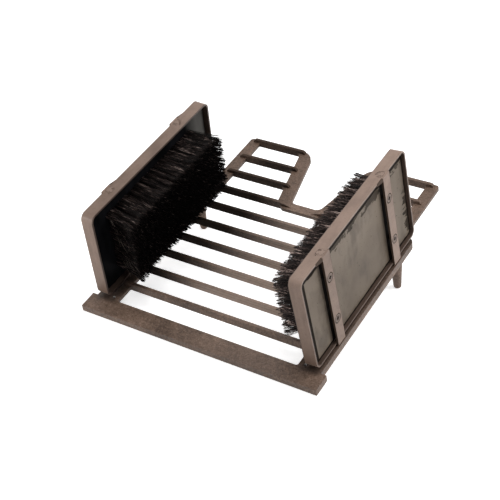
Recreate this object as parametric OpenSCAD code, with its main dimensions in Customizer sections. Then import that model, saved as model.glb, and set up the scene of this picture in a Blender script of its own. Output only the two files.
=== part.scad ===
// Boot scraper: an iron grille of scraper blades with a heel notch, carrying two framed side brushes.
// The grille is drawn flat, with its top at z = 0 and its front at y = 0, and then tilted on its legs.

/* [Front plate and rails] */
// Width of the front plate
plate_w = 300; // [290:1:360]
// Depth of the front plate, front to back
plate_d = 22; // [18:0.5:40]
// Thickness of the front plate
plate_t = 8; // [6:0.25:12]
// Length of the front plate outside each ledge
plate_end = 6.5; // [4:0.5:20]
// Width of each ledge under a brush frame
ledge_w = 13; // [11:0.5:16]
// Thickness of each ledge
ledge_t = 9; // [6:0.25:12]
// Length by which a ledge stops short of the brush frame's rear end
ledge_short = 5.5; // [2:0.5:20]
// Radius of the rounded rear end of a ledge
ledge_r = 8; // [3:0.5:10]
// Width of each side rail
rail_w = 14.5; // [12:0.5:20]
// Thickness of the rails and of the heel fork
rail_t = 4.5; // [3.5:0.25:6]
// Radius of the outer rear corners of the side rails
rail_r = 4; // [1:0.5:8]
// Diameter of the small hole in each rail behind the front plate
drain_d = 3; // [2:0.25:5]
// Distance of that hole behind the front plate
drain_y = 3.5; // [2.5:0.25:6]

/* [Scraper blades] */
// Distance from one blade to the next
blade_pitch = 31.5; // [26:0.1:36]
// Gap between the front plate and the first blade
front_gap = 25.3; // [15:0.1:40]
// Length added to the gap in front of the rearmost blade
rear_extra = 2.3; // [0:0.1:6]
// Thickness of a blade at its upper edge
blade_top = 3.8; // [2:0.1:4.4]
// Thickness of a blade at its lower edge
blade_root = 5; // [4.6:0.1:7]
// Height of a blade above the rails
blade_rise = 4; // [2.5:0.25:7]
// Depth of a blade below the rails
blade_drop = 0.6; // [0.2:0.1:2]
// Length of a blade that lies over a side rail
blade_lap = 8.5; // [5:0.5:10]
// Length of a blade that lies over an arm of the heel fork
arm_lap = 7; // [5:0.5:7.5]
// Radius of the upper corner at a blade's end
blade_r = 3.8; // [1:0.1:4]
// Radius of the inner corners between blades and rails
corner_r = 2.5; // [1:0.25:4]
// Length of the rails behind the last blade
rear_lip = 1.5; // [1:0.1:8]

/* [Heel notch] */
// Width of the notch at its bottom
notch_w = 41; // [32:0.5:50]
// Angle by which each side of the notch opens to the rear
notch_flare = 12.5; // [6:0.5:16]
// Radius of the two corners at the bottom of the notch
notch_r = 8; // [4:0.5:12]
// Width of each inner rail beside the notch
arm_w = 17; // [13:0.5:20]
// Radius of the corner where the notch meets the rear edge
arm_r = 20; // [12:0.5:26]
// Depth of the bridge at the bottom of the notch
bridge_d = 12.2; // [10:0.2:16]
// Length by which the bridge stands in front of its blade
bridge_lip = 3.3; // [1.5:0.1:5]
// Width of the straight front edge of the bridge
bridge_w = 46; // [30:0.5:50]
// Length of the swing from that edge back to the blade at each end
bridge_run = 9; // [6:0.5:9]
// Length over which the split blade sinks into the bridge
fade_l = 24; // [14:0.5:26]
// Distance from the middle of the bridge to the sunken end of that blade
fade_x = 6; // [3:0.5:10]

/* [Legs] */
// Length of a rear leg below its ledge
leg_l = 43; // [25:1:60]
// Diameter of a leg at its top
leg_d = 15; // [12:0.5:15]
// Diameter of a leg at its tip
leg_tip_d = 9; // [7:0.5:11]
// Radius of the rounding at the tip
leg_round = 2; // [0.5:0.25:3]
// Distance of a leg in front of the rear end of its ledge
leg_set = 29; // [12:0.5:60]
// Distance of a leg's middle inside the outer side of its ledge
leg_in = 10; // [8:0.5:14]

/* [Brush frames] */
// Length of a brush frame
frame_l = 227.4; // [200:0.2:250]
// Height of a brush frame
frame_h = 118; // [90:0.5:150]
// Width of the strip that the frame is bent from
strip_w = 14.4; // [12.5:0.1:18]
// Thickness of that strip
strip_t = 2.2; // [1.5:0.1:3.5]
// Outer radius of the frame's corners
frame_r = 8; // [5:0.5:14]
// Angle by which a frame leans towards the middle
frame_lean = 3.6; // [0:0.2:5]
// Gap between the frame and the grille
frame_lift = 2.25; // [0.3:0.05:4]
// Length by which the left frame reaches over the front plate
frame_over = 0.9; // [0:0.1:6]
// Distance by which the right frame is welded on further back than the left one
right_shift = 0.8; // [0:0.1:3]
// Distance of the straps' outer face from the ledge's outer side
strap_inset = 0.7; // [0.2:0.1:2]
// Thickness of a strap
strap_t = 2.2; // [1.6:0.1:3]
// Width of a strap
strap_w = 14.4; // [12:0.1:18]
// Distance between the middles of the two straps of a frame
strap_span = 131.6; // [100:0.2:150]
// Length of the weld that runs out beside the top of a strap
weld_l = 10; // [4:0.5:14]
// Height of that weld
weld_h = 4; // [2:0.25:6]
// Height of the groove that is left under a strap's outer edge
groove_h = 1.5; // [0.5:0.1:2]
// Depth of that groove
groove_d = 1.1; // [0.5:0.1:1.2]

/* [Boards and bristles] */
// Thickness of a brush board
board_t = 3.6; // [3.2:0.1:6]
// Depth of the board behind the frame's outer edge
board_set = 3.8; // [2.5:0.1:5]
// Gap between the board's edge and the frame
board_gap = 0.3; // [0.2:0.05:0.6]
// Thickness of the slice of board that the bristles are set in
slice_t = 1.2; // [0.8:0.1:1.4]
// Length of the field of bristles along the board
field_l = 164; // [120:1:200]
// Height of the field of bristles on the board
field_h = 76; // [60:1:100]
// Length of the bristles
bristle_l = 40.5; // [20:0.5:45]
// Radius of a tuft where it leaves the board
tuft_r = 2.5; // [1.5:0.1:3]
// Radius of a tuft at its tips
tip_r = 1.3; // [0.8:0.1:1.6]
// Sideways spread of the outermost tips along the board
spread_l = 10; // [0:0.5:24]
// Sideways spread of the outermost tips up and down the board
spread_h = 1; // [0:0.5:14]
// Unevenness of the bristles' length and direction
unevenness = 1.4; // [0:0.1:2]

/* [Screws] */
// Diameter of a screw's shank
screw_d = 4; // [3:0.1:5]
// Diameter of a screw's countersunk head
head_d = 9; // [7:0.1:10]
// Distance between the upper and the lower screw of a strap
screw_span = 56; // [40:1:80]
// Length of a screw inside the board
screw_bite = 2; // [1.2:0.1:2]
// Gap between a screw and the holes it passes
screw_gap = 0.05; // [0.03:0.01:0.15]
// Width of the slots of the cross recess
cross_w = 1.1; // [0.8:0.1:1.6]
// Length of the slots of the cross recess
cross_l = 5; // [3:0.1:6]
// Depth of the cross recess
cross_depth = 1.3; // [0.6:0.1:1.8]

/* [Hidden] */
$fn = 48;

IRON = "#5b4a41";
BOARD = "#7d766c";
HAIR = "#17130f";
STEEL = "#8a7d70";

// Seven blades cross the grille, the last of them split by the heel fork, and three more cross each arm
full_blades = 7;
arm_blades = 3;
split_blade = full_blades - 1;
last_blade = full_blades + arm_blades - 1;
function blade_y(i) = plate_d + front_gap + blade_root / 2 + i * blade_pitch
    + (i == last_blade ? rear_extra : 0);
// Half the thickness of a blade at the top of the rails
blade_half = (blade_top + (blade_root - blade_top) * blade_rise / (blade_rise + rail_t + blade_drop)) / 2;

// Sides of the grille, from the middle outwards
ledge_out = plate_w / 2 - plate_end;
rail_out = ledge_out - ledge_w;
rail_in = rail_out - rail_w;
rear_y = blade_y(last_blade) + blade_root / 2 + rear_lip;

// Front edge of the bridge, with a swing of two equal arcs that end inside the split blade
bridge_y = blade_y(split_blade) - blade_root / 2 - bridge_lip;
swing_d = bridge_lip + blade_root / 2 - blade_top / 2;
swing_turn = 2 * atan2(swing_d, bridge_run);
swing_r = bridge_run / (2 * sin(swing_turn));

// Heel notch: where its straight side starts, and the middle of the rounding at the rear
notch_y = bridge_y + bridge_d;
side_x = notch_w / 2;
side_y = notch_y + notch_r * (1 - sin(notch_flare));
corner_x = side_x - notch_r * cos(notch_flare);
fork_w = arm_w / cos(notch_flare);
function fork_x(y) = side_x + fork_w + (y - side_y) * tan(notch_flare);
// The rounding at the rear stays clear of the inner rail's other side
round_r = min(arm_r, fork_w / (cos(notch_flare) - (1 - sin(notch_flare)) * tan(notch_flare)) - 1);
round_y = rear_y - round_r;
run_y = round_y + round_r * sin(notch_flare);
run_x = side_x + (run_y - side_y) * tan(notch_flare);
round_x = run_x + round_r * cos(notch_flare);

// Brush frame, in the grille's own frame
frame_x = ledge_out - strap_inset - strap_t - strip_w;
frame_y = plate_d - frame_over;
ledge_end = frame_y + frame_l - ledge_short;
strap_ys = [(frame_l - strap_span) / 2, (frame_l + strap_span) / 2];
screw_zs = [(frame_h - screw_span) / 2, (frame_h + screw_span) / 2];
board_out = strip_w - board_set;
board_in = board_out - board_t;
screw_tip = board_out - screw_bite;

// Bristles: tufts stand in a grid of cells
tufts_l = 20;
tufts_h = 10;
sides = 3;
cell_l = field_l / tufts_l;
cell_h = field_h / tufts_h;
field_y = (frame_l - field_l) / 2;
field_z = (frame_h - field_h) / 2;

// Legs, and the tilt that sets the front plate's lower edge and both tips on the ground
leg_x = ledge_out - leg_in;
leg_y = ledge_end - leg_set;
leg_flat = leg_tip_d / 2 - leg_round;
leg_drop = ledge_t + leg_l - leg_round - plate_t;
tilt = atan2(leg_drop, leg_y - leg_flat) + asin(leg_round / norm([leg_y - leg_flat, leg_drop]));
rear_edge = rear_y * cos(tilt) + rail_t * sin(tilt);
frame_top_z = frame_lift + (frame_h - frame_r) * cos(frame_lean) + strip_w * sin(frame_lean);
frame_edge = (frame_y + frame_r) * cos(tilt) - frame_top_z * sin(tilt) - frame_r;
front_edge = min(0, frame_edge);
over = 1;
arc_steps = 9;
corner_steps = 4;

// Sets the flat drawing on its legs, with the ground at z = 0 and the middle of the whole at the origin
module stand() {
    translate([0, -(rear_edge + front_edge) / 2, plate_t * cos(tilt)]) rotate([tilt, 0, 0]) children();
}

module both_sides() {
    children();
    mirror([1, 0, 0]) children();
}

// A flat outline in y and z, given thickness along x
module along_x(length) {
    rotate([90, 0, 90]) linear_extrude(length) children();
}

module rounded_rect(l, h, r) {
    translate([r, 0]) square([l - 2 * r, h]);
    translate([0, r]) square([l, h - 2 * r]);
    for (x = [r, l - r], y = [r, h - r]) translate([x, y]) circle(r);
}

// Strip of the grille from x = a to x = b and y = from to y = end, with its outer rear corner rounded
module side_strip(a, b, from, end, r) {
    translate([a, from]) square([b - a, end - r - from]);
    translate([a, from]) square([b - a - r, end - from]);
    translate([b - r, end - r]) circle(r);
}

// Points of an arc about a centre, from one angle to another
function arc(centre, r, from, to) = [for (i = [0 : arc_steps])
    let (a = from + (to - from) * i / arc_steps) centre + r * [cos(a), sin(a)]];

function backwards(points) = [for (i = [len(points) - 1 : -1 : 0]) points[i]];

// Rounded inner corner at a point, between a blade that runs off along x and a rail that runs off
// along the direction given. Its points start on the rail and end on the blade.
function corner(point, way, along) = [for (i = [0 : corner_steps]) let (a = 90 * i / corner_steps)
    point + corner_r * ((1 - cos(a)) * [way, 0] + (1 - sin(a)) * along)];

// The two corners where a blade's middle meets the side of a rail at x, a side that leans by slope
function corner_before(x, y, way, slope) =
    corner([x - slope * blade_half, y - blade_half], way, [-slope, -1]);
function corner_behind(x, y, way, slope) =
    backwards(corner([x + slope * blade_half, y + blade_half], way, [slope, 1]));

// Right side rail, from the front plate along its inner side to the rear and back outside
function rail_points() = concat(
    [[rail_in - corner_r, 0]], backwards(corner([rail_in, plate_d], -1, [0, 1])),
    [for (i = [0 : last_blade - 1])
        each concat(corner_before(rail_in, blade_y(i), -1, 0), corner_behind(rail_in, blade_y(i), -1, 0))],
    corner_before(rail_in, blade_y(last_blade), -1, 0), [[rail_in, blade_y(last_blade)], [rail_in, rear_y]],
    arc([rail_out - rail_r, rear_y - rail_r], rail_r, 90, 0), [[rail_out, 0]]);

// Right half of the fork that goes round the heel notch, from the middle of its front edge to the
// outer side, the rear end, the notch side and the notch bottom
function fork_half() =
    let (slope = tan(notch_flare), swing_x = bridge_w / 2, end_y = blade_y(last_blade))
    let (back = arc([swing_x + bridge_run, bridge_y + swing_d - swing_r], swing_r, 90 + swing_turn, 90))
    concat(arc([swing_x, bridge_y + swing_r], swing_r, -90, swing_turn - 90),
           [for (i = [1 : arc_steps]) back[i]],
           [[fork_x(blade_y(split_blade)), blade_y(split_blade)]],
           corner_behind(fork_x(blade_y(split_blade)), blade_y(split_blade), 1, slope),
           [for (i = [full_blades : last_blade - 1])
               each concat(corner_before(fork_x(blade_y(i)), blade_y(i), 1, slope),
                           corner_behind(fork_x(blade_y(i)), blade_y(i), 1, slope))],
           corner_before(fork_x(end_y), end_y, 1, slope), [[fork_x(end_y), end_y], [fork_x(rear_y), rear_y]],
           arc([round_x, round_y], round_r, 90, 180 - notch_flare),
           arc([corner_x, notch_y + notch_r], notch_r, -notch_flare, -90));

module fork_outline() {
    half = fork_half();
    polygon(concat(half, [for (p = backwards(half)) [-p[0], p[1]]]));
}

// Upper outline of a blade's end in x and z: rounded at x on its left or right, or sunk into the bridge
function left_end(x) = arc([x + blade_r, blade_rise - blade_r], blade_r, 180, 90);
function right_end(x) = arc([x - blade_r, blade_rise - blade_r], blade_r, 90, 0);
function sunk_end(x) = [for (i = [0 : arc_steps]) let (s = i / arc_steps)
    [x + s * fade_l, (blade_rise + over) * (1 - cos(180 * s)) / 2 - over]];

// A blade with the given upper outline, tapered upwards
module blade(outline, y) {
    low = -rail_t - blade_drop;
    translate([0, y, 0]) intersection() {
        translate([-plate_w / 2, 0, 0]) along_x(plate_w)
            polygon([[-blade_root / 2, low], [blade_root / 2, low],
                     [blade_top / 2, blade_rise], [-blade_top / 2, blade_rise]]);
        translate([0, blade_root, 0]) rotate([90, 0, 0]) linear_extrude(2 * blade_root)
            polygon(concat([[outline[0][0], low]], outline, [[outline[len(outline) - 1][0], low]]));
    }
}

// Leg under a ledge, with its top let into the rail beside it
module leg() {
    top = leg_l + ledge_t - rail_t + over;
    translate([leg_x, leg_y, -ledge_t - leg_l]) rotate_extrude()
        polygon(concat([[0, top], [0, 0]], arc([leg_flat, leg_round], leg_round, -90, 0),
                       [[leg_d / 2, leg_l], [leg_d / 2, top]]));
}

module base_grille() {
    blade_end = rail_in + blade_lap;
    color(IRON) stand() difference() {
        union() {
            translate([-plate_w / 2, 0, -plate_t]) cube([plate_w, plate_d, plate_t]);
            translate([0, 0, -rail_t]) linear_extrude(rail_t) {
                both_sides() polygon(rail_points());
                fork_outline();
            }
            both_sides() {
                translate([0, 0, -ledge_t]) linear_extrude(ledge_t)
                    side_strip(rail_out - over, ledge_out, plate_d, ledge_end, ledge_r);
                leg();
                blade(concat(sunk_end(fade_x), right_end(blade_end)), blade_y(split_blade));
                for (i = [full_blades : last_blade])
                    blade(concat(left_end(fork_x(blade_y(i)) - arm_lap), right_end(blade_end)), blade_y(i));
            }
            for (i = [0 : split_blade - 1])
                blade(concat(left_end(-blade_end), right_end(blade_end)), blade_y(i));
        }
        both_sides() translate([(rail_in + rail_out) / 2, plate_d + drain_y, -rail_t - over])
            cylinder(h = rail_t + 2 * over, d = drain_d);
    }
}

// Places what belongs to a brush, drawn with x outwards from the frame's inner edge
module brush_place(side) {
    stand() mirror([side == "left" ? 1 : 0, 0, 0])
        translate([frame_x, frame_y + (side == "left" ? 0 : right_shift), frame_lift])
            rotate([0, -frame_lean, 0]) children();
}

module brush_hoop(side) {
    color(IRON) brush_place(side) along_x(strip_w) difference() {
        rounded_rect(frame_l, frame_h, frame_r);
        translate([strip_t, strip_t])
            rounded_rect(frame_l - 2 * strip_t, frame_h - 2 * strip_t, frame_r - strip_t);
    }
}

// Strap across the frame's outer edge, with its foot cut level on the ledge. The two brushes are
// alike and face each other, so the welds run rearwards on the left one and forwards on the right one.
module strap(side, y) {
    foot = frame_lift + strip_w * sin(frame_lean) + over;
    color(IRON) difference() {
        brush_place(side) {
            difference() {
                translate([strip_w, y - strap_w / 2, -foot]) cube([strap_t, strap_w, frame_h + foot]);
                translate([strip_w + strap_t - groove_d, y - strap_w / 2 - over, -foot])
                    cube([groove_d + over, strap_w + 2 * over, over + groove_h]);
                for (z = screw_zs) translate([strip_w, y, z]) rotate([0, 90, 0]) {
                    translate([0, 0, -over]) cylinder(h = strap_t + 2 * over, d = screw_d + 2 * screw_gap);
                    cylinder(h = strap_t, d1 = screw_d + 2 * screw_gap, d2 = head_d + 2 * screw_gap);
                }
            }
            translate([strip_w, y, frame_h - weld_h]) mirror([0, side == "left" ? 0 : 1, 0])
                linear_extrude(weld_h) polygon([[0, 0], [strap_t, 0], [strap_t, strap_w / 2],
                                                [0, strap_w / 2 + weld_l]]);
        }
        stand() translate([-plate_w, -plate_w, -plate_w]) cube([2 * plate_w, 3 * plate_w, plate_w]);
    }
}

module brush_board(side) {
    edge = strip_t + board_gap;
    color(BOARD) brush_place(side) difference() {
        translate([board_in, edge, edge]) along_x(board_t)
            rounded_rect(frame_l - 2 * edge, frame_h - 2 * edge, frame_r - strip_t);
        translate([board_in - over, field_y, field_z]) cube([slice_t + over, field_l, field_h]);
        for (y = strap_ys, z = screw_zs) translate([screw_tip - screw_gap, y, z]) rotate([0, 90, 0])
            cylinder(h = screw_bite + over, d = screw_d + 2 * screw_gap);
    }
}

// Points and faces of the bristles: a slice of board in cells, each with one tapered tuft
function wobble(i, j, k) = unevenness * sin(97 * i + 151 * j + 67 * k + 31 * i * j);
function reach(i, j) = bristle_l + wobble(i, j, 1);
function cell_points(x) = [for (i = [0 : tufts_l], j = [0 : tufts_h])
    [x, field_y + i * cell_l, field_z + j * cell_h]];
function ring_points(centre, r) = [for (k = [0 : sides - 1])
    centre + r * [0, cos(90 + 360 * k / sides), sin(90 + 360 * k / sides)]];
function tuft_points(i, j) =
    let (u = (i + 0.5) / tufts_l, v = (j + 0.5) / tufts_h)
    let (root = [board_in, field_y + u * field_l, field_z + v * field_h])
    let (lean = [-reach(i, j), spread_l * (2 * u - 1) + wobble(i, j, 2), spread_h * (2 * v - 1) + wobble(i, j, 3)])
    concat(ring_points(root, tuft_r), ring_points(root + lean, tip_r));

rows = tufts_h + 1;
plane = (tufts_l + 1) * rows;
function face_at(i, j) = i * rows + j;
function back_at(i, j) = plane + i * rows + j;
function tuft_at(i, j) = 2 * plane + (i * tufts_h + j) * 2 * sides;
// Eight triangles' worth of cell floor around a tuft of three sides, then its sides and its tip
function tuft_faces(i, j) =
    let (a = face_at(i, j), b = face_at(i + 1, j), c = face_at(i + 1, j + 1), d = face_at(i, j + 1))
    let (p = tuft_at(i, j), q = p + 1, r = p + 2, t = p + sides)
    concat([[a, b, r], [a, r, q], [b, c, p], [b, p, r], [c, d, p], [d, a, q], [d, q, p], [t, t + 1, t + 2]],
           [for (k = [0 : sides - 1]) let (n = (k + 1) % sides) each [[p + k, p + n, t + n], [p + k, t + n, t + k]]]);
function back_faces(i, j) =
    let (a = back_at(i, j), b = back_at(i + 1, j), c = back_at(i + 1, j + 1), d = back_at(i, j + 1))
    [[a, c, b], [a, d, c]];
// Wall between a face edge from p to q and the same edge at the back, seen from outside
function wall(p, q) = [[p, p + plane, q + plane], [p, q + plane, q]];
function wall_faces() = concat(
    [for (i = [0 : tufts_l - 1]) each wall(face_at(i, 0), face_at(i + 1, 0))],
    [for (i = [0 : tufts_l - 1]) each wall(face_at(i + 1, tufts_h), face_at(i, tufts_h))],
    [for (j = [0 : tufts_h - 1]) each wall(face_at(0, j + 1), face_at(0, j))],
    [for (j = [0 : tufts_h - 1]) each wall(face_at(tufts_l, j), face_at(tufts_l, j + 1))]);

module bristles(side) {
    color(HAIR) brush_place(side) polyhedron(
        points = concat(cell_points(board_in), cell_points(board_in + slice_t),
                        [for (i = [0 : tufts_l - 1], j = [0 : tufts_h - 1]) each tuft_points(i, j)]),
        faces = concat([for (i = [0 : tufts_l - 1], j = [0 : tufts_h - 1]) each tuft_faces(i, j)],
                       [for (i = [0 : tufts_l - 1], j = [0 : tufts_h - 1]) each back_faces(i, j)],
                       wall_faces()));
}

// Countersunk screw with a cross recess, from its tip in the board to its head in the strap
module strap_screw() {
    shank_l = strip_w + strap_t - screw_tip;
    rotate([0, 90, 0]) difference() {
        union() {
            cylinder(h = shank_l, d = screw_d);
            translate([0, 0, shank_l - strap_t]) cylinder(h = strap_t, d1 = screw_d, d2 = head_d);
        }
        for (turn = [0, 90]) rotate([0, 0, turn])
            translate([-cross_l / 2, -cross_w / 2, shank_l - cross_depth])
                cube([cross_l, cross_w, cross_depth + over]);
    }
}

module strap_screws(side) {
    color(STEEL) brush_place(side)
        for (y = strap_ys, z = screw_zs) translate([screw_tip, y, z]) strap_screw();
}

base_grille();
brush_hoop("left");  // left_brush_hoop
brush_hoop("right");  // right_brush_hoop
strap("left", strap_ys[0]);  // left_front_strap
strap("left", strap_ys[1]);  // left_rear_strap
strap("right", strap_ys[0]);  // right_front_strap
strap("right", strap_ys[1]);  // right_rear_strap
brush_board("left");  // left_brush_board
brush_board("right");  // right_brush_board
bristles("left");  // left_bristles
bristles("right");  // right_bristles
strap_screws("left");  // left_strap_screws
strap_screws("right");  // right_strap_screws
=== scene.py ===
"""Boot scraper with two side brushes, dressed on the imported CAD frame."""

import math
import random

import bpy
from mathutils import Matrix, Vector

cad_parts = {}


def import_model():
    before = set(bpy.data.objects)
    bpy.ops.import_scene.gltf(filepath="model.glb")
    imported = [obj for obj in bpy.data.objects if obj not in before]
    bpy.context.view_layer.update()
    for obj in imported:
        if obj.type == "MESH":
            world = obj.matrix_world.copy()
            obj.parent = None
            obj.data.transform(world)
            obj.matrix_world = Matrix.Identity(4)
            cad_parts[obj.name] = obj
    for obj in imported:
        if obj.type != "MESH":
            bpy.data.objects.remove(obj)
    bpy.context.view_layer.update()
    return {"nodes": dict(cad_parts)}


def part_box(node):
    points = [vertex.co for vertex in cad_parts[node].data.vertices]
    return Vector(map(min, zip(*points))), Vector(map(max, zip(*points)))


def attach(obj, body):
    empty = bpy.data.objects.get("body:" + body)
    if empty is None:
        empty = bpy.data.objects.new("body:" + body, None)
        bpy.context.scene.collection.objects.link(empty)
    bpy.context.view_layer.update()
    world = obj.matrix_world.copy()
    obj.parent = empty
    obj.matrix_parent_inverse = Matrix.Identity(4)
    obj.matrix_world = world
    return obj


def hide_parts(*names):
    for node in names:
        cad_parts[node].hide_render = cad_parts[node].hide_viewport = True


# The camera of the photograph: what it looks at, from where, and its lens on a 36 mm sensor
CAMERA_AIM = Vector((-0.0216, -0.01421, 0.03887))
CAMERA_DISTANCE = 1.313
CAMERA_AZIMUTH = 32.909
CAMERA_ELEVATION = 31.708
CAMERA_ROLL = -1.624
CAMERA_LENS = 82.45
SENSOR = 36.0

# How the grille is tilted on its legs, how high its rails are square to it, and the hole through each rail
TILT = math.radians(11.763)
PLATE_THICK = 0.008
RAIL_TOP = PLATE_THICK * math.cos(TILT) ** 2
RAIL_HOLE = Vector((0.12325, -0.140))
RAIL_HOLE_RADIUS = 0.0015

# The grille's blades, measured along it and counted from 0; the last one lies a little past its turn
FIRST_BLADE = 0.0498
BLADE_PITCH = 0.0315
BLADE_HALF = 0.0027
BLADE_RISE = 0.004
LAST_BLADE = 9
LAST_EXTRA = 0.0023

# Where the arms start, the inner side of the left one's rail, and that of its flared bar at y = 0
ARM_FRONT = 0.075
RAIL_INSIDE = -0.116
BAR_INSIDE = -0.0233
BAR_FLARE = math.radians(12.8)

# The painted shadow of the left brush on the blades beside it, and how far it shifts to the right from its
# front to the rear
DARK_FRONT = -0.098
DARK_LEFT = -0.121
DARK_WIDTH = 0.055
DARK_SHIFT = (-0.014, 0.026)
DARK_SHIFT_END = 0.020
DARK_MOST = 0.92

# How dark the painted shade makes both arms and the left one's blades, and how light the painted light
# makes the blades between the brushes
ARM_DARK = 0.26
RUNG_DARK = 0.72
LIGHT_REAR = 0.058
FLANK_LIGHT = 0.75
CREST_LIGHT = 0.30

# Where a brush frame stands on the grille and how it leans, and its hoop of flat strip
HAND = {"left": -1.0, "right": 1.0}
HOOP_X = 0.1262
HOOP_Y = 0.0211
HOOP_SHIFT = {"left": 0.0, "right": 0.0008}
HOOP_LIFT = 0.00225
HOOP_LEAN = math.radians(3.6)
HOOP_LENGTH = 0.2274
HOOP_HEIGHT = 0.118
HOOP_ROUND = 0.008
STRIP_WIDTH = 0.0144
STRIP_THICK = 0.0022

# How far painted shade spreads on the grille from a brush frame, to the front, the rear, the middle and
# the side
SHADE_AHEAD = 0.006
SHADE_BEHIND = 0.004
SHADE_INWARD = 0.012
SHADE_OUTWARD = 0.006

# Straps with their screws and welds, and the board behind them
STRAP_SPAN = 0.1316
STRAP_WIDTH = 0.0144
STRAP_THICK = 0.0022
STRAP_FRONT = (HOOP_LENGTH - STRAP_SPAN) / 2
SCREW_SPAN = 0.056
SCREW_HEAD = 0.0045
WELD_LENGTH = 0.010
BOARD_OUT = 0.0106
BOARD_THICK = 0.0036
BOARD_FACE = BOARD_OUT - BOARD_THICK

# Grime and painted shade on a board: painted shade in its lines along the hoop, at the front and at the
# top, and grime in its smears and its drips
EDGE_LINE = 0.0024
FRONT_LINE = 0.0106
TOP_LINE = 0.0108
SMEAR_REACH = (0.010, 0.026)
DRIP_REACH = (0.022, 0.003)
DRIP_TOP = 0.055

# Colours of painted highlights, of dark pits and painted shade, and of dark edges on the strips, and how
# strongly each hoop's top has painted light or painted shade
PAINTED_HIGHLIGHT = (0.330, 0.240, 0.195)
PITS_AND_SHADE = (0.060, 0.038, 0.028)
EDGE_DARK = (0.036, 0.023, 0.018)
TOP_HIGHLIGHT = {"left": 0.0, "right": 0.22}
TOP_SHADE = {"left": 0.30, "right": 0.0}

# Bristles: rows of tufts on the board, each with clumps of fibres that fan out towards their tips
SEED = {"left": 5, "right": 8}
TUFT_COLUMNS = 21
TUFT_ROWS = 10
TUFT_JITTER = 0.0012
CLUMPS = 13
FIBRES = 6
ROOT_LENGTH = 0.156
ROOT_HEIGHT = 0.070
TIP_LENGTH = {"left": 0.172, "right": 0.174}
TIP_SHIFT = {"left": 0.0, "right": -0.004}
TIP_HEIGHT = 0.070
TIP_DROP = 0.0015
BRISTLE_REACH = {"left": 0.0425, "right": 0.0435}
CROWN = 0.0013
TUFT_ROOT_RADIUS = 0.0042
TUFT_TIP_RADIUS = 0.0048
CLUMP_RADIUS = 0.0011
CLUMP_UNEVEN = 0.0010
FIBRE_UNEVEN = 0.0016
LOOSE_CHANCE = 0.05
LOOSE_SPREAD = 3.0
FRONT_DROOP = 0.007
DROOP_START = 0.72
DROOP_LESS = 0.35

# Stray fibres at the front of a brush, and a fibre's depth in the board, radii, bend and mesh
STRAYS = 14
HANGING = 4
FIBRE_SET = 0.0004
FIBRE_ROOT = 0.00026
FIBRE_TIP = 0.00018
FIBRE_BEND = 0.4
RINGS = 4
SIDES = 3

# Bristle colour: how far painted shade keeps it black from the tips, and how light its streaks are on each
# brush, much lighter on the right one as painted light
TIP_SHADE = {"left": 0.0095, "right": 0.0018}
STREAK_LIGHT = {"left": 1.3, "right": 3.4}

# How far the left brush's tips lie from the middle
TIPS_OUT = HOOP_X + BOARD_FACE - BRISTLE_REACH["left"]

# The floor, just below the ground, and the point that most lamps face
FLOOR_SIZE = 12.0
FLOOR_GAP = 0.0002
MIDDLE = (0.0, 0.0, 0.05)


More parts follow.
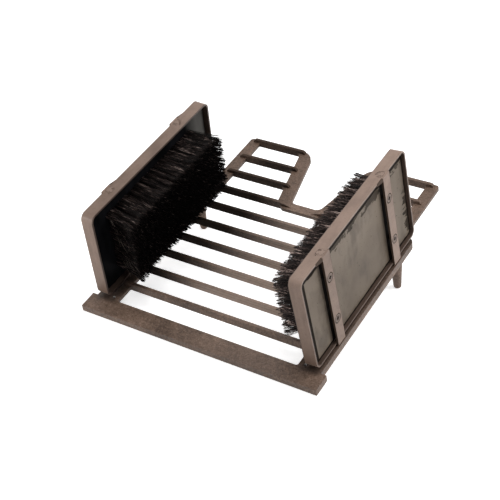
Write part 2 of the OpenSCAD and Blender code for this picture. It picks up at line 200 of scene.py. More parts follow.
class Shade:
    """A procedural material, built node by node."""

    def __init__(self, name, side=None):
        """Coordinates are the row frame's, or those of one brush's own frame."""
        self.material = bpy.data.materials.new(name)
        self.material.use_nodes = True
        self.nodes = self.material.node_tree.nodes
        self.links = self.material.node_tree.links
        self.shader = self.nodes["Principled BSDF"]
        place = self.nodes.new("ShaderNodeTexCoord")
        turn = self.nodes.new("ShaderNodeMapping")
        if side:
            back = brush_frame(side).inverted()
            mirror = Matrix.Diagonal((HAND[side], 1.0, 1.0))
            turn.inputs["Location"].default_value = back.translation
            turn.inputs["Rotation"].default_value = (back.to_3x3() @ mirror).to_euler()
            turn.inputs["Scale"].default_value = (HAND[side], 1.0, 1.0)
        self.links.new(place.outputs["Object"], turn.inputs["Vector"])
        self.place = turn.outputs["Vector"]
        parts = self.nodes.new("ShaderNodeSeparateXYZ")
        self.links.new(self.place, parts.inputs["Vector"])
        self.x, self.y, self.z = parts.outputs

    def feed(self, socket, value):
        """Links a socket to an input, or sets it to a number or a colour."""
        if isinstance(value, bpy.types.NodeSocket):
            self.links.new(value, socket)
        elif socket.type == "RGBA":
            socket.default_value = (*value, 1.0)
        else:
            socket.default_value = value

    def maths(self, operation, *values):
        """One sum on numbers or sockets."""
        node = self.nodes.new("ShaderNodeMath")
        node.operation = operation
        for socket, value in zip(node.inputs, values):
            self.feed(socket, value)
        return node.outputs["Value"]

    def fold(self, operation, values):
        """A sum carried through several values from the first one on."""
        total = values[0]
        for value in values[1:]:
            total = self.maths(operation, total, value)
        return total

    def plus(self, *values):
        """Values added up."""
        return self.fold("ADD", values)

    def minus(self, first, second):
        """One value less another."""
        return self.maths("SUBTRACT", first, second)

    def times(self, *values):
        """Values multiplied."""
        return self.fold("MULTIPLY", values)

    def most(self, *values):
        """The largest value."""
        return self.fold("MAXIMUM", values)

    def least(self, *values):
        """The smallest value."""
        return self.fold("MINIMUM", values)

    def away(self, value, centre):
        """How far a value lies from a centre."""
        return self.maths("ABSOLUTE", self.minus(value, centre))

    def across(self, first, second):
        """The length of a pair of distances."""
        return self.maths("SQRT", self.plus(self.times(first, first), self.times(second, second)))

    def weigh(self, *parts):
        """The sum of (value, share) pairs."""
        return self.plus(*[self.times(value, share) for value, share in parts])

    def fade(self, value, start, end, low=0.0, high=1.0):
        """A value spread from low at start to high at end, and held beyond them."""
        node = self.nodes.new("ShaderNodeMapRange")
        limits = {"From Min": start, "From Max": end, "To Min": low, "To Max": high}
        for name, number in limits.items():
            node.inputs[name].default_value = number
        self.links.new(value, node.inputs["Value"])
        return node.outputs["Result"]

    def past(self, value, edge, soft):
        """Nothing up to an edge, rising to one over a soft stretch beyond it."""
        return self.fade(value, edge, edge + soft)

    def before(self, value, edge, soft):
        """One up to an edge, falling to nothing over a soft stretch beyond it."""
        return self.fade(value, edge, edge + soft, 1.0, 0.0)

    def ragged(self, value, noise, width):
        """A distance made uneven by a noise, by up to a width either way."""
        return self.plus(value, self.fade(noise, 0.3, 0.7, -width, width))

    def noise(self, scale, detail=3.0, rough=0.55, stretch=(1.0, 1.0, 1.0)):
        """The strength of a noise, stretched along the axes."""
        wide = self.nodes.new("ShaderNodeMapping")
        wide.inputs["Scale"].default_value = stretch
        self.links.new(self.place, wide.inputs["Vector"])
        texture = self.nodes.new("ShaderNodeTexNoise")
        texture.inputs["Scale"].default_value = scale
        texture.inputs["Detail"].default_value = detail
        texture.inputs["Roughness"].default_value = rough
        self.links.new(wide.outputs["Vector"], texture.inputs["Vector"])
        return texture.outputs["Fac"]

    def ramp(self, factor, stops):
        """A colour ramp over a factor, from a list of (position, colour)."""
        node = self.nodes.new("ShaderNodeValToRGB")
        elements = node.color_ramp.elements
        while len(elements) < len(stops):
            elements.new(0.5)
        for element, (position, colour) in zip(elements, stops):
            element.position = position
            element.color = (*colour, 1.0)
        self.links.new(factor, node.inputs["Fac"])
        return node.outputs["Color"]

    def coat(self, under, over, *masks):
        """A colour with another one over it, as strong as all the masks together."""
        node = self.nodes.new("ShaderNodeMix")
        node.data_type = "RGBA"
        # Its inputs 0, 6 and 7 are the factor and the two colours, and output 2 is the mixed colour
        self.feed(node.inputs[0], self.times(*masks))
        self.feed(node.inputs[6], under)
        self.feed(node.inputs[7], over)
        return node.outputs[2]

    def bump(self, *layers):
        """Stacks layers of (height, depth in metres) on the shader's normal."""
        normal = None
        for height, depth in layers:
            node = self.nodes.new("ShaderNodeBump")
            node.inputs["Distance"].default_value = depth
            self.links.new(height, node.inputs["Height"])
            if normal is not None:
                self.links.new(normal, node.inputs["Normal"])
            normal = node.outputs["Normal"]
        self.links.new(normal, self.shader.inputs["Normal"])

    def finish(self, colour, rough, shine=0.5):
        """Sets the shader's colour, its roughness and how much it reflects."""
        self.feed(self.shader.inputs["Base Color"], colour)
        self.feed(self.shader.inputs["Roughness"], rough)
        self.feed(self.shader.inputs["Specular IOR Level"], shine)
        return self.material


def brush_frame(side):
    """The matrix from a brush's own frame, with x outwards, y to the rear and z up, to the row frame."""
    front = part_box("base_grille")[0].y
    stand = Matrix.Translation((0.0, front, PLATE_THICK * math.cos(TILT))) @ Matrix.Rotation(TILT, 4, "X")
    mirror = Matrix.Scale(HAND[side], 4, (1.0, 0.0, 0.0))
    place = Matrix.Translation((HOOP_X, HOOP_Y + HOOP_SHIFT[side], HOOP_LIFT))
    return stand @ mirror @ place @ Matrix.Rotation(-HOOP_LEAN, 4, "Y")


def grille_place(shade):
    """How far a point lies along the grille and square to it, from the ground below its front edge."""
    back = shade.minus(shade.y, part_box("base_grille")[0].y)
    along = shade.plus(shade.times(back, math.cos(TILT)), shade.times(shade.z, math.sin(TILT)))
    level = shade.minus(shade.times(shade.z, math.cos(TILT)), shade.times(back, math.sin(TILT)))
    return along, level


def frame_shade(shade, level):
    """Painted shade on the grille's upper side, along the feet of the brush frames."""
    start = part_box("base_grille")[0].y + HOOP_Y * math.cos(TILT)
    out = shade.away(shade.x, 0.0)
    flank = HOOP_X + STRIP_WIDTH
    return shade.times(shade.past(shade.y, start - SHADE_AHEAD, SHADE_AHEAD),
                       shade.before(shade.y, start + HOOP_LENGTH, SHADE_BEHIND),
                       shade.past(out, HOOP_X - SHADE_INWARD, 0.008),
                       shade.before(out, flank - 0.001, SHADE_OUTWARD + 0.001),
                       shade.past(level, 0.0, 0.002))


def right_of_dark(shade):
    """How far right a point lies of the left edge of the left brush's painted shadow, near its tips."""
    shift = shade.fade(shade.y, DARK_FRONT, DARK_SHIFT_END, *DARK_SHIFT)
    return shade.minus(shade.plus(shade.x, TIPS_OUT), shift)


def left_rungs(shade, along, level):
    """The blades on the left: all of each one between rail and bar, and its raised part elsewhere."""
    final = FIRST_BLADE + (LAST_BLADE - 0.5) * BLADE_PITCH
    even = shade.minus(along, shade.fade(along, final, final + 0.001, 0.0, LAST_EXTRA))
    phase = shade.maths("FLOORED_MODULO", shade.plus(even, BLADE_PITCH / 2 - FIRST_BLADE), BLADE_PITCH)
    blade = shade.before(shade.away(phase, BLADE_PITCH / 2), BLADE_HALF, 0.0008)
    flared = shade.plus(shade.x, shade.times(shade.y, math.tan(BAR_FLARE)))
    slot = shade.times(shade.past(shade.x, RAIL_INSIDE, 0.0005), shade.before(flared, BAR_INSIDE, 0.0005))
    raised = shade.past(level, RAIL_TOP + 0.0001, 0.0002)
    return shade.times(blade, shade.most(slot, raised), shade.before(shade.x, 0.0, 0.001))


def shaded_parts(shade, along, level):
    """How dark painted shade makes the grille: the left brush's painted shadow beside it, and painted
    shade on the arms.
    """
    stretch = shade.times(shade.fade(right_of_dark(shade), 0.0, DARK_WIDTH, DARK_MOST, 0.0),
                          shade.past(shade.y, DARK_FRONT - 0.002, 0.002),
                          shade.before(shade.y, ARM_FRONT, 0.004),
                          shade.past(shade.x, DARK_LEFT - 0.004, 0.004))
    rungs = shade.times(left_rungs(shade, along, level), RUNG_DARK)
    arms = shade.times(shade.past(shade.y, ARM_FRONT, 0.004), shade.most(rungs, ARM_DARK))
    return shade.most(stretch, arms)


def lit_parts(shade, level):
    """How much painted light lightens the blades between the brushes, on their flanks more than on their
    crests.
    """
    crest = RAIL_TOP + BLADE_RISE
    return shade.times(shade.fade(right_of_dark(shade), DARK_WIDTH / 2, DARK_WIDTH * 1.3),
                       shade.past(shade.y, DARK_FRONT - 0.002, 0.002),
                       shade.before(shade.y, LIGHT_REAR, 0.004),
                       shade.before(shade.x, TIPS_OUT - 0.010, 0.010),
                       shade.past(shade.away(level, RAIL_TOP), 0.0001, 0.0002),
                       shade.fade(level, crest - 0.0008, crest - 0.0004, FLANK_LIGHT, CREST_LIGHT))


def rail_hole(shade):
    """A near white ring around the small hole through each side rail."""
    out = shade.away(shade.away(shade.x, 0.0), RAIL_HOLE.x)
    distance = shade.across(out, shade.away(shade.y, RAIL_HOLE.y))
    return shade.fade(distance, RAIL_HOLE_RADIUS - 0.0002, RAIL_HOLE_RADIUS + 0.0001, 0.9, 0.0)


def cast_iron():
    """Sand-cast iron, painted a satin bronze-brown: blotched, speckled and pitted."""
    shade = Shade("cast_grille")
    cloud = shade.noise(9.0, 3.0, 0.5)
    blotch = shade.noise(26.0, 5.0, 0.6)
    mottle = shade.noise(190.0, 4.0, 0.7)
    speck = shade.noise(640.0, 3.0, 0.6)
    pit = shade.noise(380.0, 2.0, 0.5)
    tone = shade.weigh((cloud, 0.35), (blotch, 0.30), (mottle, 0.35))
    colour = shade.ramp(tone, [(0.38, (0.066, 0.040, 0.027)), (0.50, (0.152, 0.098, 0.070)),
                               (0.60, (0.235, 0.155, 0.114))])
    colour = shade.coat(colour, (0.034, 0.020, 0.013), shade.fade(speck, 0.50, 0.64, 0.0, 0.60))
    colour = shade.coat(colour, (0.300, 0.210, 0.162), shade.fade(pit, 0.58, 0.70, 0.0, 0.25))
    along, level = grille_place(shade)
    dim = shaded_parts(shade, along, level)
    # Painted shade on the grille along the feet of the brush frames
    colour = shade.coat(colour, (0.030, 0.019, 0.014), frame_shade(shade, level), 0.80)
    # Painted light on the blades between the brushes
    colour = shade.coat(colour, (0.420, 0.315, 0.255), lit_parts(shade, level))
    # Painted shadow of the left brush on the blades beside it, and painted shade on the arms
    colour = shade.coat(colour, (0.012, 0.008, 0.006), dim)
    colour = shade.coat(colour, (0.550, 0.530, 0.510), rail_hole(shade))
    shade.bump((blotch, 0.0014), (pit, 0.00050), (speck, 0.00022))
    rough = shade.fade(mottle, 0.3, 0.7, 0.40, 0.58)
    return shade.finish(colour, rough, shade.fade(dim, 0.0, 0.8, 0.3, 0.02))


def strap_distance(shade):
    """How far a point lies from the middle of the nearest strap, along the board."""
    return shade.away(shade.away(shade.y, HOOP_LENGTH / 2), STRAP_SPAN / 2)


def screw_distance(shade):
    """How far a point lies from the axis of the nearest screw."""
    up = shade.away(shade.away(shade.z, HOOP_HEIGHT / 2), SCREW_SPAN / 2)
    return shade.across(strap_distance(shade), up)


def corner_sides(shade):
    """How far a point of a brush lies past the start of its frame's bends, along and up."""
    halves = ((HOOP_LENGTH / 2, shade.y), (HOOP_HEIGHT / 2, shade.z))
    return [shade.minus(shade.away(place, middle), middle - HOOP_ROUND) for middle, place in halves]


def corner_distance(shade, inset):
    """How far a point of a brush lies inside the rounded outline of its frame, less an inset."""
    sides = corner_sides(shade)
    round_part = shade.across(*[shade.most(value, 0.0) for value in sides])
    flat_part = shade.least(shade.most(*sides), 0.0)
    return shade.minus(HOOP_ROUND - inset, shade.plus(round_part, flat_part))


def hoop_top(shade):
    """The upper side of a hoop."""
    return shade.past(shade.z, HOOP_HEIGHT - 0.003, 0.001)


def weld_marks(shade):
    """The welds on a hoop's top beside its straps, and their dark rims and pits."""
    reach = WELD_LENGTH / 2
    lump = shade.noise(420.0, 2.0, 0.5)
    out = shade.across(strap_distance(shade), shade.away(shade.x, STRIP_WIDTH - WELD_LENGTH / 3))
    out = shade.ragged(out, lump, 0.0022)
    bead = shade.times(shade.before(out, reach - 0.0010, 0.0010), hoop_top(shade))
    rim = shade.past(out, reach - 0.0020, 0.0010)
    return bead, shade.times(bead, shade.most(rim, shade.past(lump, 0.60, 0.06)))


def hoop_paint(shade, side, colour, bead, pits):
    """A hoop's colour: painted highlights on its lip, bends and the right hoop's top, painted shade on the
    inner half of its lip, the left hoop's top, its inner side and its foot, darker along its edge towards
    the bristles, and its welds' lighter beads and dark pits.
    """
    lip = shade.fade(corner_distance(shade, 0.0), STRIP_THICK / 2, STRIP_THICK / 2 + 0.0003, 0.10, -0.90)
    lip = shade.times(lip, shade.past(shade.x, STRIP_WIDTH - 0.0005, 0.0005))
    bend = shade.fade(shade.least(*corner_sides(shade)), 0.0, 0.0025, 0.0, 0.30)
    top = shade.times(hoop_top(shade), shade.fade(shade.y, HOOP_LENGTH * 0.6, HOOP_LENGTH, 1.0, 0.4))
    inner = shade.past(corner_distance(shade, STRIP_THICK), -0.0006, 0.0004)
    # Painted highlight on the outer half of the lip, and painted shade on its inner half
    colour = shade.coat(colour, PAINTED_HIGHLIGHT, shade.most(lip, 0.0))
    colour = shade.coat(colour, EDGE_DARK, shade.most(shade.times(lip, -1.0), 0.0))
    # Darker along the strip's edge towards the bristles
    colour = shade.coat(colour, EDGE_DARK, shade.fade(shade.x, 0.0002, 0.0006, 0.85, 0.0))
    # Painted highlight on the bends
    colour = shade.coat(colour, PAINTED_HIGHLIGHT, bend)
    # Painted light on the right hoop's top, and painted shade on the left one's
    colour = shade.coat(colour, (0.380, 0.280, 0.230), top, TOP_HIGHLIGHT[side])
    colour = shade.coat(colour, PITS_AND_SHADE, top, TOP_SHADE[side])
    colour = shade.coat(colour, (0.270, 0.195, 0.158), bead, 0.35)
    colour = shade.coat(colour, PITS_AND_SHADE, pits, 0.55)
    # Painted shade on the strip's inner side
    colour = shade.coat(colour, (0.050, 0.032, 0.024), inner, 0.75)
    # Painted shade towards the hoop's foot
    return shade.coat(colour, PITS_AND_SHADE, shade.fade(shade.z, 0.004, 0.050, 0.38, 0.0))


def strap_shade(shade):
    """Painted shade in a ring about each screw head, at its countersink, and along the flanks of a strap.
    """
    out = shade.ragged(screw_distance(shade), shade.noise(300.0), 0.0005)
    ring = shade.times(shade.past(out, SCREW_HEAD - 0.0005, 0.0005),
                       shade.before(out, SCREW_HEAD + 0.0008, 0.0008))
    edge = STRAP_WIDTH / 2
    return shade.most(ring, shade.fade(strap_distance(shade), edge - 0.0005, edge - 0.0001, 0.0, 0.8))


def strip_iron(side, part):
    """Flat strip, painted like the grille but smoother; part is "hoop" or "strap"."""
    shade = Shade(side + "_" + part, side)
    blotch = shade.noise(30.0, 4.0, 0.6)
    grain = shade.noise(520.0, 3.0, 0.6)
    drawn = shade.noise(90.0, 3.0, 0.6, (1.0, 0.25, 0.25))
    tone = shade.weigh((blotch, 0.5), (drawn, 0.5))
    colour = shade.ramp(tone, [(0.36, (0.155, 0.100, 0.074)), (0.50, (0.212, 0.142, 0.107)),
                               (0.64, (0.262, 0.180, 0.139))])
    colour = shade.coat(colour, (0.095, 0.058, 0.042), shade.fade(grain, 0.56, 0.72, 0.0, 0.30))
    layers = [(blotch, 0.0006), (grain, 0.00008)]
    if part == "hoop":
        bead, dark = weld_marks(shade)
        colour = hoop_paint(shade, side, colour, bead, dark)
        layers.append((bead, 0.0010))
    else:
        # Painted shade about the screws and along the strap's flanks
        dark = strap_shade(shade)
        colour = shade.coat(colour, (0.022, 0.014, 0.009), dark, 0.9)
    shade.bump(*layers)
    rough = shade.fade(grain, 0.3, 0.7, 0.40, 0.52)
    return shade.finish(colour, rough, shade.fade(dark, 0.0, 1.0, 0.3, 0.03))


def board_paint(shade):
    """The colour of a board's outer side, wiped taupe and lighter at its top and front, and its grime and
    painted shade.
    """
    smudge = shade.noise(24.0, 5.0, 0.6, (1.0, 1.0, 0.7))
    swipe = shade.noise(40.0, 4.0, 0.6, (1.0, 1.0, 0.55))
    speck = shade.noise(400.0, 1.0, 0.5)
    colour = shade.ramp(smudge, [(0.32, (0.112, 0.088, 0.066)), (0.48, (0.142, 0.112, 0.085)),
                                 (0.66, (0.165, 0.133, 0.102))])
    lift = shade.most(shade.fade(shade.z, 0.060, 0.090, 0.0, 0.60),
                      shade.fade(shade.y, STRAP_FRONT - 0.010, STRAP_FRONT, 0.30, 0.0))
    ahead = shade.fade(shade.y, HOOP_LENGTH * 0.5, HOOP_LENGTH * 0.8, 1.0, 0.2)
    colour = shade.coat(colour, (0.235, 0.190, 0.150), lift, ahead)
    colour = shade.coat(colour, (0.078, 0.062, 0.049), shade.fade(swipe, 0.50, 0.66, 0.0, 0.60))
    dark = board_grime_and_shade(shade)
    # Grime, and painted shade along the hoop and under the straps
    colour = shade.coat(colour, (0.0080, 0.0055, 0.0042), dark, 0.96)
    colour = shade.coat(colour, (0.020, 0.016, 0.013), shade.fade(speck, 0.72, 0.76, 0.0, 0.7))
    return colour, dark


def board_grime_and_shade(shade):
    """Grime and painted shade on a board: painted shade in lines along its edges and under its straps,
    grime in smears at its top and drips at its rear.
    """
    patch = shade.noise(85.0, 4.0, 0.65, (1.0, 0.55, 1.2))
    drip = shade.noise(280.0, 2.0, 0.5, (1.0, 0.22, 1.0))
    below = shade.minus(HOOP_HEIGHT, shade.z)
    edge = shade.ragged(corner_distance(shade, STRIP_THICK), patch, 0.0008)
    # Painted shade along the hoop's edges, at the front and under the top
    lines = shade.most(shade.before(edge, EDGE_LINE, 0.0010), shade.before(shade.y, FRONT_LINE, 0.0010),
                       shade.before(shade.ragged(below, patch, 0.0012), TOP_LINE, 0.0014))
    clear = shade.fade(below, *SMEAR_REACH, 0.40, 0.68)
    smears = shade.times(shade.past(shade.minus(patch, clear), 0.0, 0.03),
                         shade.past(shade.y, STRAP_FRONT, 0.010), 0.75)
    dry = shade.fade(shade.y, HOOP_LENGTH - DRIP_REACH[0], HOOP_LENGTH - DRIP_REACH[1], 0.74, 0.38)
    drips = shade.times(shade.past(shade.minus(drip, dry), 0.0, 0.02),
                        shade.before(shade.z, DRIP_TOP, 0.020), 0.85)
    # Painted shade under the straps
    under = shade.before(strap_distance(shade), STRAP_WIDTH / 2, 0.0006)
    return shade.most(lines, smears, drips, under)


def board_inside(shade):
    """The colour of a board's inner side: near black, with a painted reflection that lightens it at the
    rear.
    """
    sheen = shade.noise(40.0, 4.0, 0.6, (1.0, 1.0, 0.3))
    colour = shade.ramp(sheen, [(0.40, (0.0030, 0.0031, 0.0034)), (0.70, (0.010, 0.010, 0.012))])
    # Painted reflection at the rear of the inner side
    rear_reflection = shade.fade(shade.y, HOOP_LENGTH - 0.040, HOOP_LENGTH - 0.018, 0.0, 0.8)
    return shade.coat(colour, (0.125, 0.120, 0.112), rear_reflection)


def board_material(side):
    """Brush board, painted or moulded: taupe outside with grime and painted shade, and near black inside
    with a painted reflection at the rear.
    """
    shade = Shade(side + "_board", side)
    outside, dark = board_paint(shade)
    inside = shade.before(shade.x, BOARD_OUT - 0.0012, 0.0006)
    colour = shade.coat(outside, board_inside(shade), inside)
    shine = shade.fade(shade.most(inside, dark), 0.0, 1.0, 0.10, 0.01)
    return shade.finish(colour, shade.fade(inside, 0.0, 1.0, 0.46, 0.35), shine)


def screw_material(side):
    """Painted screw head, with a painted highlight on its rim and painted shade in its recess."""
    shade = Shade(side + "_screw", side)
    grain = shade.noise(420.0, 3.0, 0.6)
    colour = shade.ramp(grain, [(0.36, (0.085, 0.056, 0.042)), (0.64, (0.150, 0.104, 0.080))])
    out = screw_distance(shade)
    # Painted highlight on the rim
    rim = shade.fade(out, SCREW_HEAD - 0.0014, SCREW_HEAD - 0.0008, 0.0, 0.25)
    # Painted shade in the recess and at the middle of the head
    recess = shade.times(shade.before(shade.x, STRIP_WIDTH + STRAP_THICK - 0.0004, 0.0003),
                         shade.before(out, SCREW_HEAD - 0.0010, 0.0004))
    dark = shade.most(recess, shade.fade(out, 0.0012, 0.0022, 0.8, 0.0))
    colour = shade.coat(colour, (0.360, 0.270, 0.220), rim)
    colour = shade.coat(colour, (0.012, 0.007, 0.005), dark)
    return shade.finish(colour, 0.42, shade.fade(dark, 0.0, 1.0, 0.2, 0.02))


def bristle_material(side):
    """Black-brown bristle with fine light streaks, partly its own colour and partly painted light, much
    lighter on the right brush as painted light, and painted shade that keeps it black towards its tips.
    """
    shade = Shade(side + "_bristle", side)
    streak = shade.noise(680.0, 2.0, 0.6, (0.05, 1.0, 1.0))
    group = shade.noise(150.0, 2.0, 0.5, (0.25, 1.0, 1.0))
    stops = [(0.43, (0.0036, 0.0028, 0.0026)), (0.54, (0.015, 0.0105, 0.0095)),
             (0.59, (0.070, 0.051, 0.045)), (0.66, (0.300, 0.235, 0.210))]
    # Painted light: the right brush's streaks are made much lighter than the left one's
    light = STREAK_LIGHT[side]
    colour = shade.ramp(shade.weigh((streak, 0.65), (group, 0.35)),
                        [(position, tuple(light * part for part in stop)) for position, stop in stops])
    # Painted shade keeps the fibres black towards their tips
    tip = BOARD_FACE - BRISTLE_REACH[side]
    ragged = shade.ragged(shade.x, streak, 0.0015)
    grown = shade.fade(ragged, tip + 0.4 * TIP_SHADE[side], tip + TIP_SHADE[side])
    colour = shade.coat((0.0030, 0.0026, 0.0026), colour, grown)
    return shade.finish(colour, 0.5, shade.times(grown, 0.12))


def stray_material():
    """Pale bristle with a little grain."""
    shade = Shade("stray_bristle")
    grain = shade.fade(shade.noise(500.0), 0.4, 0.6)
    return shade.finish(shade.coat((0.156, 0.126, 0.108), (0.260, 0.210, 0.180), grain), 0.4)


def in_disc(rng, radius):
    """A random point in a disc."""
    turn = rng.uniform(0.0, math.tau)
    reach = radius * math.sqrt(rng.random())
    return reach * math.cos(turn), reach * math.sin(turn)


def fibre_path(root, tip, reach, droop):
    """Points of one fibre in a brush's own frame, from the board to its tip."""
    points = []
    for step in range(RINGS):
        t = step / (RINGS - 1)
        bend = (1.0 - FIBRE_BEND) * t + FIBRE_BEND * t * t
        points.append(Vector((BOARD_FACE + FIBRE_SET - t * reach, root[0] + bend * (tip[0] - root[0]),
                              root[1] + bend * (tip[1] - root[1]) - droop * t * t)))
    return points


def tuft(rng, side, u, v):
    """The fibres of the tuft at u, v, which run from -1 to 1 along and up the board."""
    middle = (HOOP_LENGTH / 2, HOOP_HEIGHT / 2)
    root = (middle[0] + u * ROOT_LENGTH / 2 + rng.gauss(0.0, TUFT_JITTER),
            middle[1] + v * ROOT_HEIGHT / 2 + rng.gauss(0.0, TUFT_JITTER / 2))
    tip = (middle[0] + u * TIP_LENGTH[side] / 2 + TIP_SHIFT[side],
           middle[1] + v * TIP_HEIGHT / 2 - TIP_DROP)
    edge = max(0.0, -u - DROOP_START) / (1.0 - DROOP_START)
    for _ in range(CLUMPS):
        lean = in_disc(rng, TUFT_TIP_RADIUS)
        short = rng.gauss(0.0, CLUMP_UNEVEN)
        droop = FRONT_DROOP * edge * (1.0 - DROOP_LESS * (1.0 + v)) * rng.uniform(0.1, 1.0)
        for _ in range(FIBRES):
            start = in_disc(rng, TUFT_ROOT_RADIUS)
            spread = LOOSE_SPREAD if rng.random() < LOOSE_CHANCE else 1.0
            stray = in_disc(rng, CLUMP_RADIUS * spread)
            end = (tip[0] + lean[0] + stray[0], tip[1] + lean[1] + stray[1])
            reach = BRISTLE_REACH[side] - CROWN * (u * u + v * v) - short - rng.uniform(0.0, FIBRE_UNEVEN)
            yield fibre_path((root[0] + start[0], root[1] + start[1]), end, reach, droop)


def brush_fibres(rng, side):
    """The fibres of all the tufts of a brush."""
    for column in range(TUFT_COLUMNS):
        for row in range(TUFT_ROWS):
            u = 2.0 * column / (TUFT_COLUMNS - 1) - 1.0
            v = 2.0 * row / (TUFT_ROWS - 1) - 1.0
            yield from tuft(rng, side, u, v)


def stray_fibres(rng):
    """Long fibres that hang out of the front edge of a brush."""
    front = (HOOP_LENGTH - ROOT_LENGTH) / 2
    for _ in range(STRAYS):
        v = rng.uniform(-0.9, 0.8)
        root = (front - 0.001, HOOP_HEIGHT / 2 + v * ROOT_HEIGHT / 2)
        tip = (root[0] - rng.uniform(0.002, 0.009), root[1] - rng.uniform(0.001, 0.006))
        yield fibre_path(root, tip, rng.uniform(0.020, 0.036), rng.uniform(0.006, 0.020))
    for _ in range(HANGING):
        root = (front - rng.uniform(0.001, 0.003), HOOP_HEIGHT / 2 + 0.45 * ROOT_HEIGHT)
        tip = (root[0] - rng.uniform(0.001, 0.004), root[1])
        yield fibre_path(root, tip, rng.uniform(0.008, 0.018), rng.uniform(0.030, 0.050))


def tube(vertices, faces, path, turn):
    """Adds a thin tapered tube along a path that runs roughly along x."""
    first = len(vertices)
    for step, point in enumerate(path):
        radius = FIBRE_ROOT + (FIBRE_TIP - FIBRE_ROOT) * step / (len(path) - 1)
        for k in range(SIDES):
            angle = turn + math.tau * k / SIDES
            vertices.append(point + Vector((0.0, radius * math.cos(angle), radius * math.sin(angle))))
    for step in range(len(path) - 1):
        low = first + step * SIDES
        for k in range(SIDES):
            n = (k + 1) % SIDES
            faces.append((low + k, low + n, low + SIDES + n, low + SIDES + k))
    last = first + (len(path) - 1) * SIDES
    faces.append(tuple(range(last, last + SIDES)))


def add_mesh(name, vertices, faces, material):
    """A smooth mesh in the row frame that rides on the part."""
    mesh = bpy.data.meshes.new(name)
    mesh.from_pydata(vertices, [], faces)
    mesh.polygons.foreach_set("use_smooth", [True] * len(mesh.polygons))
    mesh.materials.append(material)
    piece = bpy.data.objects.new(name, mesh)
    bpy.context.scene.collection.objects.link(piece)
    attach(piece, "root")
    return piece


def add_fibres(name, side, rng, paths, material):
    """A mesh of fibres along paths that are given in a brush's own frame."""
    vertices = []
    faces = []
    for path in paths:
        tube(vertices, faces, path, rng.uniform(0.0, math.tau))
    place = brush_frame(side)
    return add_mesh(name, [place @ point for point in vertices], faces, material)


def bristles(side, stray):
    """One brush's fibres, in place of the plain tufts, and its stray ones."""
    rng = random.Random(SEED[side])
    fibres = brush_fibres(rng, side)
    piece = add_fibres(side + "_bristle_fibres", side, rng, fibres, bristle_material(side))
    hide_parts(side + "_bristles")
    add_fibres(side + "_stray_fibres", side, rng, stray_fibres(rng), stray)


def dress(node, material, width):
    """Gives a CAD node its material and softens its edges."""
    piece = frame["nodes"][node]
    piece.data.materials.clear()
    piece.data.materials.append(material)
    if width:
        bevel = piece.modifiers.new("soft_edges", "BEVEL")
        bevel.width = width
        bevel.segments = 2
        bevel.limit_method = "ANGLE"
        bevel.angle_limit = math.radians(40.0)


def seen_by(tree, *rays):
    """One for the kinds of ray that are named, and nothing for the others."""
    path = tree.nodes.new("ShaderNodeLightPath")
    seen = path.outputs[rays[0]]
    for ray in rays[1:]:
        either = tree.nodes.new("ShaderNodeMath")
        either.operation = "MAXIMUM"
        tree.links.new(seen, either.inputs[0])
        tree.links.new(path.outputs[ray], either.inputs[1])
        seen = either.outputs["Value"]
    return seen


def floor():
    """A plain floor that shows white, most of all away from the part, and keeps its shadow."""
    bpy.ops.mesh.primitive_plane_add(size=FLOOR_SIZE, location=(0.0, 0.0, -FLOOR_GAP))
    piece = bpy.context.object
    piece.name = "floor"
    shade = Shade("floor")
    seen = seen_by(shade.material.node_tree, "Is Camera Ray", "Is Glossy Ray")
    far = shade.fade(shade.across(shade.x, shade.y), 0.35, 1.20, 0.70, 1.0)
    shade.feed(shade.shader.inputs["Emission Color"], (1.0, 1.0, 1.0))
    shade.feed(shade.shader.inputs["Emission Strength"], shade.times(seen, far))
    piece.data.materials.append(shade.finish((0.88, 0.88, 0.88), 0.9, 0.0))


def lamp(name, place, aim, size, power):
    """A square soft box that faces a point."""
    data = bpy.data.lights.new(name, "AREA")
    data.shape = "SQUARE"
    data.size = size
    data.energy = power
    piece = bpy.data.objects.new(name, data)
    piece.location = place
    piece.rotation_mode = "QUATERNION"
    piece.rotation_quaternion = (Vector(aim) - Vector(place)).to_track_quat("-Z", "Y")
    bpy.context.scene.collection.objects.link(piece)


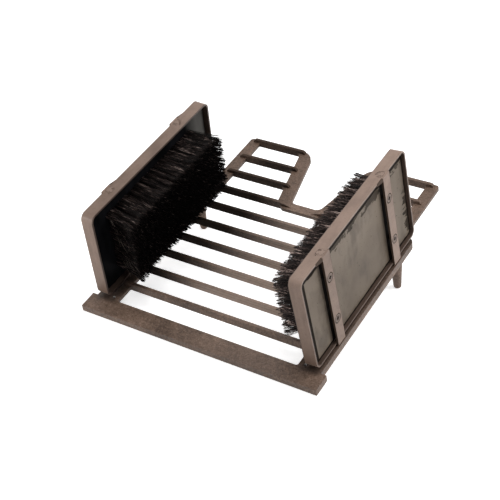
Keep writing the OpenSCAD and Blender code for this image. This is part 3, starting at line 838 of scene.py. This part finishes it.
def world(strength):
    """Soft white light from all round, seen as white."""
    studio = bpy.data.worlds.new("studio")
    bpy.context.scene.world = studio
    studio.use_nodes = True
    tree = studio.node_tree
    background = tree.nodes["Background"]
    background.inputs["Color"].default_value = (1.0, 1.0, 1.0, 1.0)
    spread = tree.nodes.new("ShaderNodeMapRange")
    spread.inputs["To Min"].default_value = strength
    spread.inputs["To Max"].default_value = 1.0
    seen = seen_by(tree, "Is Camera Ray", "Is Glossy Ray", "Is Transmission Ray")
    tree.links.new(seen, spread.inputs["Value"])
    tree.links.new(spread.outputs["Result"], background.inputs["Strength"])


def camera():
    """The photograph's camera."""
    data = bpy.data.cameras.new("camera")
    data.lens = CAMERA_LENS
    data.sensor_width = SENSOR
    data.clip_end = 20.0
    piece = bpy.data.objects.new("camera", data)
    azimuth = math.radians(CAMERA_AZIMUTH)
    elevation = math.radians(CAMERA_ELEVATION)
    back = Vector((math.sin(azimuth) * math.cos(elevation), -math.cos(azimuth) * math.cos(elevation),
                   math.sin(elevation)))
    piece.location = CAMERA_AIM + back * CAMERA_DISTANCE
    piece.rotation_mode = "QUATERNION"
    level = (-back).to_track_quat("-Z", "Y")
    piece.rotation_quaternion = level @ Matrix.Rotation(math.radians(CAMERA_ROLL), 3, "Z").to_quaternion()
    bpy.context.scene.collection.objects.link(piece)
    bpy.context.scene.camera = piece


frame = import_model()

camera()
floor()
world(0.02)
lamp("top_box", (0.12, -0.05, 1.25), MIDDLE, 1.0, 10.5)
lamp("side_box", (0.90, 0.40, 0.60), MIDDLE, 0.6, 7.5)
lamp("front_box", (-0.65, -0.65, 0.25), (-0.1, 0.0, 0.05), 0.4, 4.0)
lamp("rear_box", (-0.45, 0.60, 1.00), MIDDLE, 0.8, 1.5)

dress("base_grille", cast_iron(), 0.0007)
stray = stray_material()
for side in ("left", "right"):
    strap = strip_iron(side, "strap")
    dress(side + "_brush_hoop", strip_iron(side, "hoop"), 0.0004)
    dress(side + "_front_strap", strap, 0.0003)
    dress(side + "_rear_strap", strap, 0.0003)
    dress(side + "_brush_board", board_material(side), 0.0003)
    dress(side + "_strap_screws", screw_material(side), 0.0)
    bristles(side, stray)

bpy.context.scene.view_settings.view_transform = "Standard"
